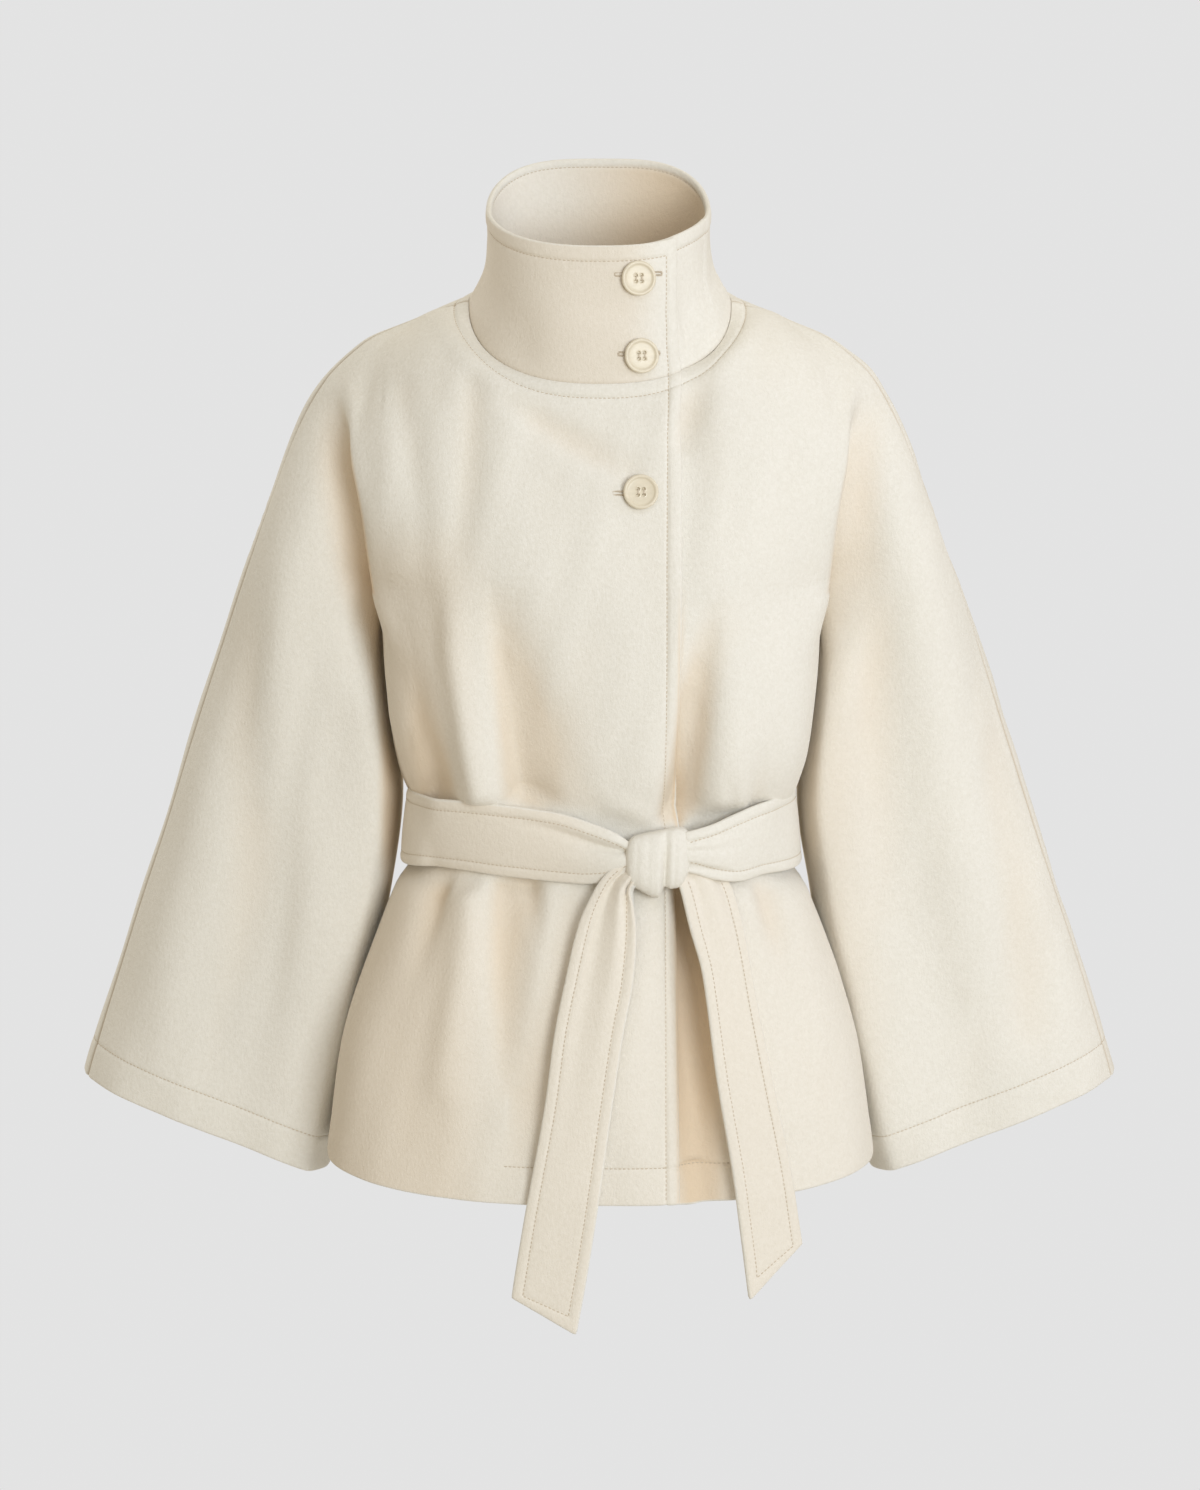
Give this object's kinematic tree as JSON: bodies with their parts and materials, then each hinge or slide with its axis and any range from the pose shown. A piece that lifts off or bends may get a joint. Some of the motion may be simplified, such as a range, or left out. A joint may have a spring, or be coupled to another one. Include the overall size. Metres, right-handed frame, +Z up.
{
  "type": "cape jacket",
  "caption": "Wool cape jacket with a tall buttoned funnel collar, wide bell sleeves cut in one with the body and a knotted tie belt.",
  "frame": {"origin": "middle of the neck, level with the two side neck points where the shoulder seams meet the collar", "axes": "+Z up, -Y towards the front of the jacket, +X towards the wearer's left arm"},
  "size_m": [0.7758, 0.2925, 0.8331],
  "materials": {
    "wool": "brushed melton wool, cream",
    "button": "satin, cream"
  },
  "bodies": {
    "root": {"front_right": "wool", "front_left": "wool", "back_left": "wool", "back_right": "wool", "collar": "wool", "belt_waist": "wool", "belt_knot": "wool", "belt_tail_left": "wool", "belt_tail_right": "wool", "button_1": "button", "button_2": "button", "button_3": "button"}
  },
  "joints": []
}
